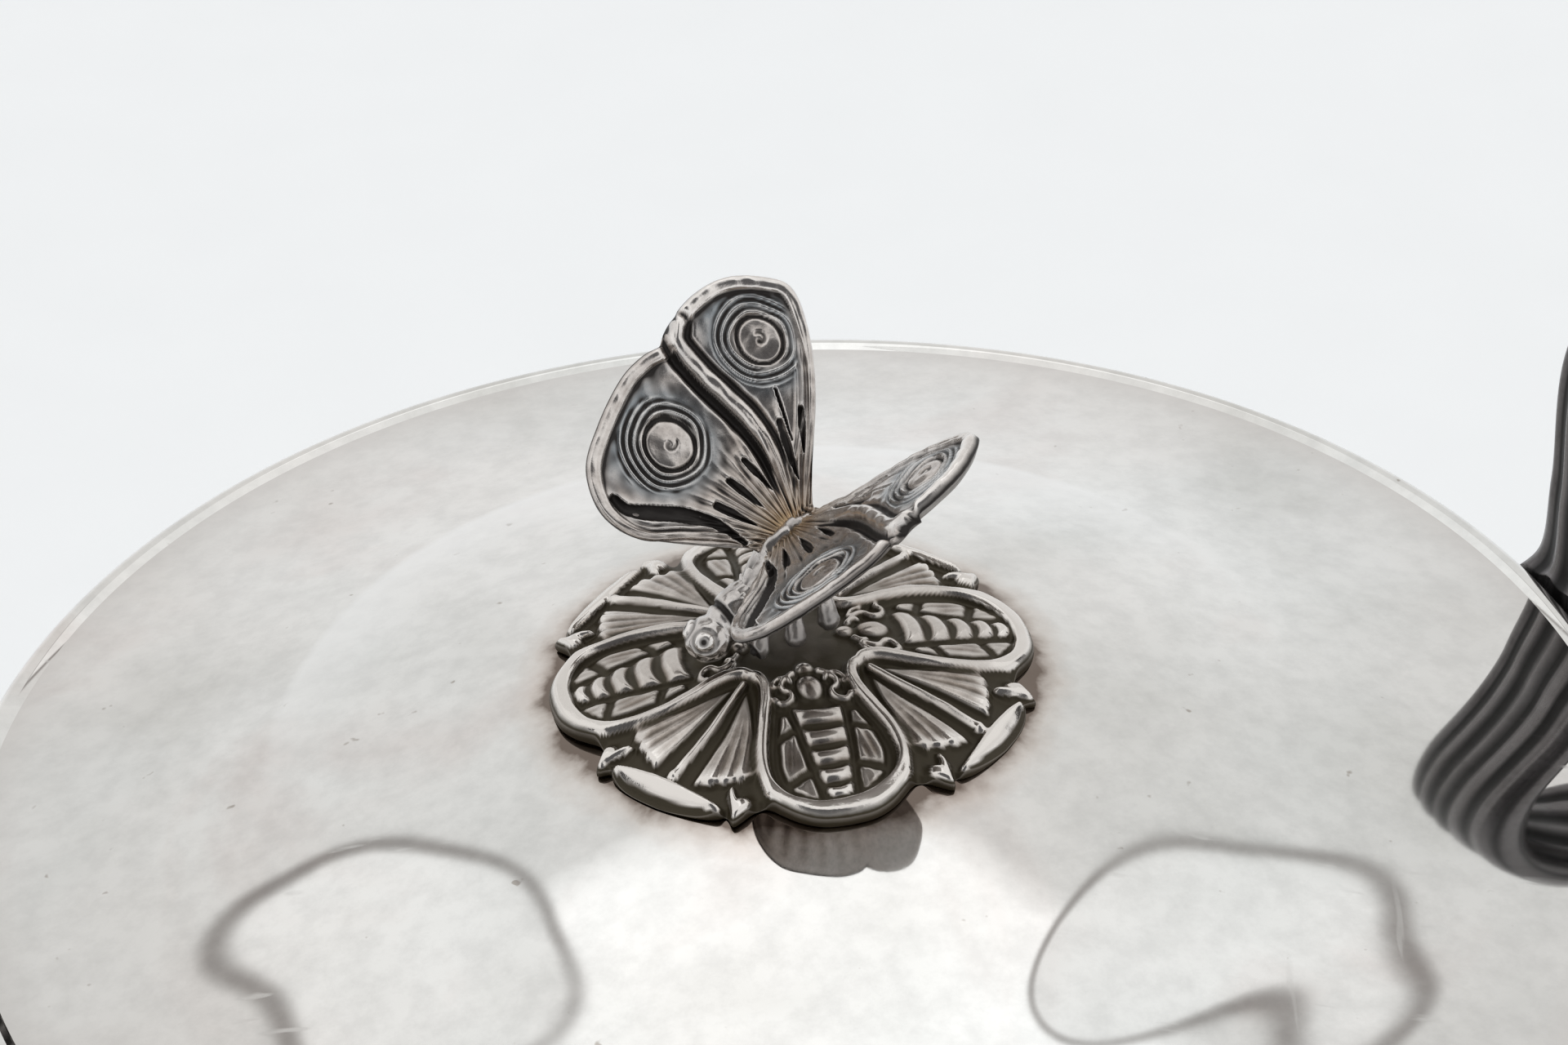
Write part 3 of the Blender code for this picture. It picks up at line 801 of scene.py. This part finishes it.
def wing_relief(u, w):
    """The wings' upper face: its height, its cool and warm tints, and how far its edge is."""
    fore, fore_share, _ = measure(u, w, smooth_line(FORE_EDGE, 10))
    hind, hind_share, _ = measure(u, w, smooth_line(HIND_EDGE, 10))
    apart, divide_share, side = measure(u, w, smooth_line(DIVIDE, 10))
    on_fore = side > 0
    edge = np.where(on_fore, fore, hind)
    root = np.hypot(u, w - 1.0)

    fore_width = np.interp(fore_share, (0.0, 0.25, 0.42, 0.6, 1.0), (0.22, 0.35, 0.50, 0.62, 0.58))
    hind_width = np.interp(hind_share, (0.0, 0.35, 0.5, 0.65, 1.0), (0.62, 0.60, 0.48, 0.34, 0.22))
    width = np.where(on_fore, fore_width, hind_width)
    rim = unit(1.0 - ((edge - width) / width) ** 4)
    height = 0.42 * (width / 0.6) * rim**0.7 - 0.05 * np.exp(-(((edge - 1.35 * width) / 0.09) ** 2))
    channel = np.exp(-(((edge - 2.0 * width - 0.42) / 0.42) ** 2))
    height -= 0.42 * channel * smooth_step(0.6, 3.5, root)

    step = np.where(on_fore, apart, 0.0)
    ridge_width = np.interp(divide_share, (0.0, 0.2, 0.5, 1.0), (0.18, 0.42, 0.62, 0.58))
    ridge = unit(1.0 - (apart / ridge_width) ** 2)
    height = np.maximum(height, 0.52 * np.sqrt(ridge) * (ridge_width / 0.6))
    beside = np.exp(-(((step - ridge_width - 0.30) / 0.34) ** 2)) * on_fore
    under = np.exp(-(((apart - ridge_width - 0.28) / 0.26) ** 2)) * ~on_fore
    height -= (0.62 * beside + 0.34 * under) * smooth_step(1.0, 5.0, root)
    height += np.where(on_fore, -0.22, 0.10) * smooth_step(0.3, 2.5, apart) * smooth_step(2, 7, root)

    lines = np.cos(TURN * edge / 0.46)
    near_edge = smooth_step(1.9, 0.9, edge) * np.where(
        on_fore, smooth_step(0.42, 0.30, fore_share), smooth_step(0.55, 0.68, hind_share)
    )
    height += 0.075 * lines * near_edge
    inner_channel = stroke(u, w, FORE_CHANNEL, (0.20, 0.42, 0.62, 0.62, 0.35))
    height -= 0.50 * np.sqrt(inner_channel)

    eyes = (
        ((9.92, 3.45), (1.95, 1.75), (3.8, 4.5, 3.3, 3.4), 0.6),
        ((11.6, -6.3), (1.85, 1.50), (3.7, 4.0, 3.5, 3.6), 2.2),
    )
    clear = smooth_step(0.9, 1.7, edge) * smooth_step(0.8, 1.5, apart)
    cool = np.zeros(u.shape)
    calm = np.ones(u.shape)
    for centre, disc, reach, curl in eyes:
        rings, rho, halo = eye_relief(u, w, centre, disc, reach, curl)
        height += rings * clear
        cool = np.maximum(cool, halo * 0.9)
        calm = np.minimum(calm, smooth_step(2.6, 4.6, rho))

    darts = (
        ((1.5, 2.55), (4.4, 3.75), 0.34), ((2.2, 1.3), (5.15, 1.85), 0.34),
        ((2.8, -0.05), (5.7, 0.05), 0.27), ((2.2, -2.0), (6.2, -3.6), 0.30),
        ((3.4, -3.5), (5.9, -5.25), 0.26), ((4.6, -3.4), (8.2, -4.85), 0.13),
    )
    for start, end, half in darts:
        dart = stroke(u, w, (start, end), (0.05, half * 0.7, half, half * 0.85), 4)
        height -= 0.42 * np.sqrt(dart)
    bearing = np.degrees(np.arctan2(w - 0.9, u + 1.6))
    rays = np.cos(TURN * bearing / 6.2) + 0.6 * np.cos(TURN * bearing / 3.7 + 1.0)
    height += 0.060 * rays * smooth_step(10.5, 3.0, root) * calm * smooth_step(0.2, 1.2, root)
    height += waves(u, w, 11, 0.020, 1.4, 24)

    cool = unit(cool * clear + 0.35 * channel * smooth_step(4.0, 9.0, root))
    warm = np.exp(-((root / 1.8) ** 2)) + 0.16 * np.exp(-((root / 5.0) ** 2))
    return height, cool, unit(warm), edge


def wing_cup(u, w, edge, turn_up):
    """The wings' overall form: hollow above, with the margins turned up by a share."""
    out = np.hypot(u, w - 1.0) / 17.0
    turned_up = turn_up * np.exp(-((edge / 3.0) ** 2)) * smooth_step(0.15, 0.6, out)
    fold = 0.45 * smooth_step(0.0, 3.0, -w) * smooth_step(0.2, 0.7, out)
    return turned_up - 0.30 * np.sin(math.pi * unit(out)) + fold - 0.25


def wing_grid(columns, rows):
    """Points from the root line out to the outline, row by row."""
    outline = np.vstack((smooth_line(FORE_EDGE, 30), smooth_line(HIND_EDGE, 30)[1:]))
    run = np.concatenate(([0.0], np.cumsum(np.hypot(*np.diff(outline, axis=0).T))))
    at = np.linspace(0, run[-1], columns)
    edge = np.stack((np.interp(at, run, outline[:, 0]), np.interp(at, run, outline[:, 1])), 1)
    share = np.linspace(0, 1, columns)[:, None]
    root = np.array(ROOT_FRONT) * (1 - share) + np.array(ROOT_REAR) * share
    t = np.linspace(0, 1, rows)[:, None, None]
    grid = root[None] * (1 - t) + edge[None] * t
    return grid[:, :, 0], grid[:, :, 1]


def make_wings(name, side, tilt, turn_up, finish):
    """Both wings of one side in one piece; its tilt is how far it is raised and pitched."""
    columns, rows, under_rows = 420, 140, 34
    u, w = wing_grid(columns, rows)
    relief, cool, warm, edge = wing_relief(u, w)
    recess, polish = hollow_and_crest(relief, False, (5, 26), 0.20)
    root = np.hypot(u, w - 1.0)
    shadow = smooth_step(-0.16, -0.46, relief)
    recess = unit(0.85 * recess + 0.9 * shadow + 0.12 * smooth_step(8, 3, root))
    border = smooth_step(1.5, 0.9, edge) * smooth_step(0.10, 0.35, relief) * smooth_step(4, 9, root)
    polish = unit(0.45 * polish + 0.30 * border)
    closing = unit(1.0 - edge / 0.30)
    top = relief + wing_cup(u, w, edge, turn_up) - 0.30 * closing**2

    lower_u, lower_w = wing_grid(columns, under_rows)
    _, _, lower_warm, lower_edge = wing_relief(lower_u, lower_w)
    closing = unit(1.0 - lower_edge / 0.5)
    bearing = np.degrees(np.arctan2(lower_w - 0.9, lower_u + 1.6))
    veins = 0.06 * np.cos(TURN * bearing / 8.5) * smooth_step(0, 2.0, lower_edge)
    bottom = wing_cup(lower_u, lower_w, lower_edge, turn_up) - WING_THICKNESS
    bottom = bottom + 0.45 * closing**2 + veins
    blank = np.zeros(lower_u.shape)

    def sheet(upper, lower):
        """The upper face, then the lower one back to the first row, to close the mesh."""
        return np.vstack((upper, lower[::-1], upper[:1]))

    out_by, ahead_by, up_by = (
        sheet(*pair).ravel()[:, None] for pair in ((u, lower_u), (w, lower_w), (top, bottom))
    )
    fields = {
        "recess": sheet(recess, blank + 0.28),
        "polish": sheet(polish, blank + 0.05),
        "cool": sheet(cool, blank + 0.15),
        "warm": sheet(warm, 0.4 * lower_warm),
    }
    rise, pitch = tilt
    ahead = Vector((math.cos(pitch), 0.0, -math.sin(pitch)))
    lift = Vector((math.sin(pitch), 0.0, math.cos(pitch)))
    aside = Vector((0.0, side, 0.0))
    out = aside * math.cos(rise) + lift * math.sin(rise)
    up = lift * math.cos(rise) - aside * math.sin(rise)
    local = np.array(WING_CENTRE) + out_by * np.array(out)
    local = local + ahead_by * np.array(ahead) + up_by * np.array(up)
    faces = grid_faces(rows + under_rows + 1, columns, False)
    node = f"butterfly_{name}_wings"
    add_piece(f"{name}_wing_pair", in_place(local), faces, finish, "lid", node, fields)


def in_place(local):
    """Points in the butterfly's frame, in millimetres, moved into the model's frame."""
    turn = np.array(Matrix.Rotation(BUTTERFLY_HEADING, 3, "Z"))
    origin = np.array(BUTTERFLY_OFFSET) + np.array((0.0, 0.0, ROSETTE_CROWN))
    return local @ turn.T * MM + origin


# ---- Butterfly body


def add_ball(shape, centre, radii, pitch=0.0):
    made = bmesh.ops.create_uvsphere(shape, u_segments=40, v_segments=28, radius=1.0)
    place = Matrix.Translation(centre) @ Matrix.Rotation(pitch, 4, "Y") @ Matrix.Diagonal((*radii, 1.0))
    bmesh.ops.transform(shape, matrix=place, verts=made["verts"])


def add_limb(shape, start, end, start_radius, end_radius):
    """A tapering limb between two points, with a round end at the second."""
    start, end = Vector(start), Vector(end)
    axis = end - start
    made = bmesh.ops.create_cone(
        shape, cap_ends=True, segments=20, radius1=start_radius, radius2=end_radius, depth=axis.length
    )
    place = Matrix.Translation((start + end) / 2) @ axis.to_track_quat("Z", "Y").to_matrix().to_4x4()
    bmesh.ops.transform(shape, matrix=place, verts=made["verts"])
    add_ball(shape, end, (end_radius,) * 3)


THORAX = ((-0.3, 0.0, 4.9), (4.6, 2.2, 2.9), math.radians(24))
DORSAL = ((-0.2, 0.0, 7.05), (2.9, 0.75, 1.5), math.radians(20))
HEAD = ((7.0, 0.0, 1.75), (1.75, 1.7, 1.6), 0.0)
NECK = ((4.7, 0.0, 3.0), (2.5, 1.6, 1.8), math.radians(35))
ABDOMEN = ((-5.0, 0.0, 5.9), (4.4, 1.4, 1.5), math.radians(10))
EYE_AT = (0.62, 0.62, 0.42)
HIPS = ((3.0, 1.1, 3.2), (0.6, 1.4, 3.0), (-2.0, 1.2, 3.6))
FEET = ((4.2, 2.1, 0.8), (1.25, 2.5, 0.75), (-1.9, 2.2, 0.7))


def make_body(finish):
    shape = bmesh.new()
    for centre, radii, pitch in (THORAX, DORSAL, HEAD, NECK, ABDOMEN):
        add_ball(shape, centre, radii, pitch)
    for side in (1, -1):
        eye = Vector(HEAD[0]) + Vector((EYE_AT[0], side * EYE_AT[1], EYE_AT[2])) * 1.15
        add_ball(shape, eye, (0.85, 0.85, 0.85))
        for hip, foot in zip(HIPS, FEET):
            hip = (hip[0], side * hip[1], hip[2])
            foot = (foot[0], side * foot[1], foot[2])
            add_limb(shape, hip, foot, 0.45, 0.80)
    mesh = bpy.data.meshes.new("body_cage")
    shape.to_mesh(mesh)
    shape.free()
    cage = put_in_scene("body_cage", mesh)
    remesh = cage.modifiers.new("skin", "REMESH")
    remesh.mode = "VOXEL"
    remesh.voxel_size = 0.11
    bpy.context.view_layer.update()
    skin = cage.evaluated_get(bpy.context.evaluated_depsgraph_get()).to_mesh()
    count = len(skin.vertices)
    points = np.empty(count * 3)
    normals = np.empty(count * 3)
    skin.vertices.foreach_get("co", points)
    skin.vertices.foreach_get("normal", normals)
    faces = [tuple(face.vertices) for face in skin.polygons]
    bpy.data.objects.remove(cage)
    points, normals = points.reshape(-1, 3), normals.reshape(-1, 3)
    relief, recess, polish = body_relief(points)
    points = points + normals * relief[:, None]
    fields = {"recess": recess, "polish": polish, "cool": np.full(count, 0.25)}
    node = "butterfly_body"
    add_piece("butterfly_figure", in_place(points), faces, finish, "lid", node, fields)


def body_relief(points):
    """Fur on the thorax, rings on the abdomen, a collar and the dimples of the eyes."""
    x, y, z = points.T
    ahead = smooth_step(4.3, 4.9, x)
    behind = smooth_step(-3.6, -4.4, x)
    thorax = (1 - ahead) * (1 - behind) * smooth_step(2.4, 3.6, z)
    around = np.degrees(np.arctan2(y, z - 4.2))
    column = around / 19 + 0.12 * np.sin(2.1 * x)
    lane = np.floor(column)
    across = 2 * (column - lane) - 1
    back = (-x / 1.9 + 0.5 * (lane % 2) + 0.21 * np.sin(3.7 * lane)) % 1.0
    relief = 0.26 * (1 - across**2) * (back - 0.35) * thorax
    rings = np.cos(TURN * (x + 0.15 * z) / 1.05)
    relief += 0.12 * rings * behind
    collar = np.exp(-(((x - 0.35 * z - 4.55) / 0.22) ** 2)) * smooth_step(3.0, 3.8, x)
    relief -= 0.28 * collar
    polish = 0.08 + 0.4 * np.clip(relief, 0, 0.2) / 0.2
    recess = unit(-relief / 0.13) * 0.8 + 0.25 * smooth_step(2.6, 1.2, z) * (1 - ahead)
    for side in (1, -1):
        direction = np.array((EYE_AT[0], side * EYE_AT[1], EYE_AT[2]))
        eye = np.array(HEAD[0]) + direction * 2.05
        distance = np.linalg.norm(points - eye, axis=1)
        dimple = np.exp(-((distance / 0.36) ** 2))
        ring = np.exp(-(((distance - 1.02) / 0.16) ** 2))
        relief -= 0.20 * dimple + 0.10 * ring
        recess += 0.9 * dimple + 0.4 * ring
        polish += 0.5 * smooth_step(1.1, 0.6, distance)
    head = smooth_step(4.9, 5.6, x)
    polish += 0.22 * head
    noise = waves(x + 0.7 * z, y - 0.4 * z, 21, 0.018, 0.9, 20)
    return relief + noise, unit(recess), unit(polish)


# ---- Handles

# Points of (out, up, share of the full width), from the neck over the top to the bowl's side.
HANDLE_LINE = (
    (59.5, 109.5, 1.25), (65.5, 113.0, 1.20), (65.6, 121.5, 1.00), (65.7, 133.0, 0.95),
    (70.0, 141.2, 0.90), (77.5, 142.0, 0.90), (83.2, 135.0, 0.90), (85.5, 121.0, 0.95),
    (83.5, 103.5, 0.95), (76.0, 88.5, 1.00), (65.0, 79.0, 1.15), (53.0, 74.5, 1.35),
)
HANDLE_HALF_THICKNESS = 2.05
HANDLE_HALF_WIDTH = 6.2


def make_handle(side, finish):
    """A fluted strap that follows the handle's line, with a bead along both edges."""
    columns = 96
    line = smooth_line(HANDLE_LINE, 26)
    rows = len(line)
    centre, share = line[:, :2], line[:, 2:]
    along = np.gradient(centre, axis=0)
    along /= np.linalg.norm(along, axis=1)[:, None]
    normal = np.stack((-along[:, 1], along[:, 0]), axis=1)
    angle = around(columns)
    across = np.sign(np.cos(angle)) * np.abs(np.cos(angle)) ** 0.75
    through = np.sign(np.sin(angle)) * np.abs(np.sin(angle)) ** 0.8
    run = np.linspace(0, 1, rows)[:, None]
    flutes = np.cos(TURN * across * 2.5) * smooth_step(0.0, 0.5, np.abs(np.sin(angle)))
    edge_bead = np.exp(-(((np.abs(across) - 0.90) / 0.10) ** 2))
    fine = np.cos(TURN * across * 11 + 2.0 * np.sin(9 * run))
    relief = 0.20 * flutes + 0.22 * edge_bead + 0.035 * fine
    wide = HANDLE_HALF_WIDTH * share * across
    thick = (HANDLE_HALF_THICKNESS * share + relief) * through
    x = centre[:, :1] + normal[:, :1] * thick
    z = centre[:, 1:] + normal[:, 1:] * thick
    points = outside_bowl(np.stack((x, wide, z), axis=2)) * MM
    points[:, :, 0] *= side
    recess, polish = hollow_and_crest(relief, True, (3, 9), 0.22)
    first, last = (np.tile(points[row].mean(axis=0), (1, columns, 1)) for row in (0, -1))
    points = np.concatenate((first, points, last)).reshape(-1, 3)
    faces = grid_faces(rows + 2, columns, True)
    fields = {}
    for name, values in (("recess", 0.18 + 0.75 * recess), ("polish", 0.45 * polish)):
        fields[name] = np.vstack((values[:1], values, values[-1:]))
    name = "right" if side > 0 else "left"
    node = f"{name}_handle"
    add_piece(f"{name}_loop_handle", points, faces, finish, "bowl", node, fields)


def outside_bowl(points):
    """Pushes the ends of a handle out to the bowl's surface, and clear of the lid."""
    x, y, z = np.moveaxis(points, 2, 0)
    radius = np.hypot(x, y)
    low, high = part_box("bowl_shell")
    depth = unit((BOWL_NECK - z * MM) / (BOWL_NECK - low.z))
    wall = high.x / MM * np.sqrt(1 - depth**2) - 0.3
    wall = np.where(z > 106.5, 60.2, wall)
    wall = np.where(z > 111.8, 63.2, wall)
    scale = np.maximum(1.0, wall / np.maximum(radius, 1e-6))
    return np.stack((x * scale, y * scale, z), axis=2)


# ---- Camera, light and floor


def make_camera():
    data = bpy.data.cameras.new("camera")
    data.lens = CAMERA_LENS
    data.sensor_width = 36.0
    data.clip_start = 0.01
    data.clip_end = 50.0
    camera = put_in_scene("camera", data)
    target = Vector((0.0, 0.0, ROSETTE_CROWN - CAMERA_DROP))
    back = Vector((0.0, -math.cos(CAMERA_ELEVATION), math.sin(CAMERA_ELEVATION)))
    back.rotate(Matrix.Rotation(CAMERA_HEADING, 3, "Z"))
    level = Vector((0.0, 0.0, 1.0)).cross(back).normalized()
    upright = back.cross(level)
    right = level * math.cos(CAMERA_ROLL) + upright * math.sin(CAMERA_ROLL)
    up = upright * math.cos(CAMERA_ROLL) - level * math.sin(CAMERA_ROLL)
    position = target + back * CAMERA_DISTANCE
    aim = target + right * AIM_RIGHT + up * AIM_UP
    behind = (position - aim).normalized()
    right = up.cross(behind).normalized()
    up = behind.cross(right)
    turn = Matrix((right, up, behind)).transposed().to_4x4()
    camera.matrix_world = Matrix.Translation(position) @ turn
    bpy.context.scene.camera = camera


def make_light_tent():
    """A white tent: two paler sides beyond upright seams, a bright top and a dark front opening."""
    world = bpy.data.worlds.new("studio")
    bpy.context.scene.world = world
    nodes = Nodes(world, "Generated")
    inputs = {"Vector": nodes.place, "Angle": -CAMERA_HEADING}
    direction = nodes.add("VectorRotate", inputs, rotation_type="Z_AXIS")
    across, ahead, height = nodes.split(direction)
    bearing = nodes.math("ARCTAN2", nodes.math("ABSOLUTE", across), ahead)
    colour = nodes.ramp(height, (0.0, (0.93, 0.94, 0.95)), (0.5, (0.80, 0.80, 0.795)))
    raised = nodes.ramp(height, (0.35, 0.0), (0.50, 1.0))
    top = nodes.ramp(nodes.math("DIVIDE", ahead, height), (0.52, 1.0), (0.60, 0.0))
    top = nodes.times(top, nodes.ramp(height, (0.60, 0.0), (0.70, 1.0)))
    colour = nodes.mix(top, colour, (1.20, 1.21, 1.215))
    sides = nodes.times(nodes.ramp(bearing, (0.570, 0.0), (0.585, 1.0)), raised)
    colour = nodes.mix(sides, colour, (0.95, 0.955, 0.955))
    seam = nodes.ramp(bearing, (0.562, 0.0), (0.570, 1.0), (0.576, 1.0), (0.582, 0.0))
    seam = nodes.times(nodes.times(seam, raised), 0.8)
    colour = nodes.mix(seam, colour, (0.22, 0.20, 0.19))
    toward = nodes.vector("DOT_PRODUCT", direction, (0.0, -0.80, 0.60), "Value")
    opening = nodes.ramp(toward, (0.83, 0.0), (0.92, 0.92))
    nodes.shade("Background", Color=nodes.mix(opening, colour, (0.04, 0.04, 0.045)))


def make_floor():
    mesh = bpy.data.meshes.new("floor")
    half = 12.0
    corners = [(-half, -half, 0), (half, -half, 0), (half, half, 0), (-half, half, 0)]
    mesh.from_pydata(corners, [], [(0, 1, 2, 3)])
    mesh.materials.append(white_paper())
    put_in_scene("floor", mesh)


# ---- The model and its stage

bpy.context.scene.view_settings.view_transform = "Standard"
PLATE = plate_silver("worn_plate_silver")
LID_PLATE = plate_silver("lid_plate_silver", lid=True)
ROSETTE_SILVER = cast_silver(
    "rosette_silver",
    (0.76, 0.72, 0.68),
    ((0.245, 0.20, 0.165), (0.325, 0.28, 0.245), (0.395, 0.35, 0.32)),
    (0.046, 0.035, 0.018),
)
WING_SILVER = cast_silver(
    "wing_silver",
    (0.92, 0.88, 0.845),
    ((0.41, 0.36, 0.33), (0.55, 0.50, 0.465), (0.65, 0.61, 0.58)),
    (0.022, 0.018, 0.016),
)
HANDLE_SILVER = cast_silver(
    "handle_silver",
    (0.33, 0.315, 0.315),
    ((0.11, 0.10, 0.10), (0.16, 0.15, 0.152), (0.21, 0.20, 0.205)),
    (0.010, 0.009, 0.009),
)
FIXING_SILVER = cast_silver(
    "fixing_silver_worn",
    (0.78, 0.75, 0.70),
    ((0.45, 0.42, 0.38), (0.55, 0.52, 0.48), (0.62, 0.59, 0.55)),
    (0.05, 0.045, 0.04),
)

make_camera()
make_light_tent()
make_floor()
make_bowl(PLATE)
make_foot(PLATE)
make_lid(PLATE, LID_PLATE)
for make, piece, part in (
    (threaded_stud, "screw", "stud"), (flat_washer, "disc", "washer"), (hexagon_nut, "hexagon", "nut")
):
    for end, body in (("foot", "bowl"), ("finial", "lid")):
        make(f"{end}_{piece}", f"{end}_{part}", body, FIXING_SILVER)
make_rosette(ROSETTE_SILVER)
make_wings("left", 1, LEFT_WING_TILT, 0.1, WING_SILVER)
make_wings("right", -1, RIGHT_WING_TILT, 1.0, WING_SILVER)
make_body(WING_SILVER)
make_handle(1, HANDLE_SILVER)
make_handle(-1, HANDLE_SILVER)
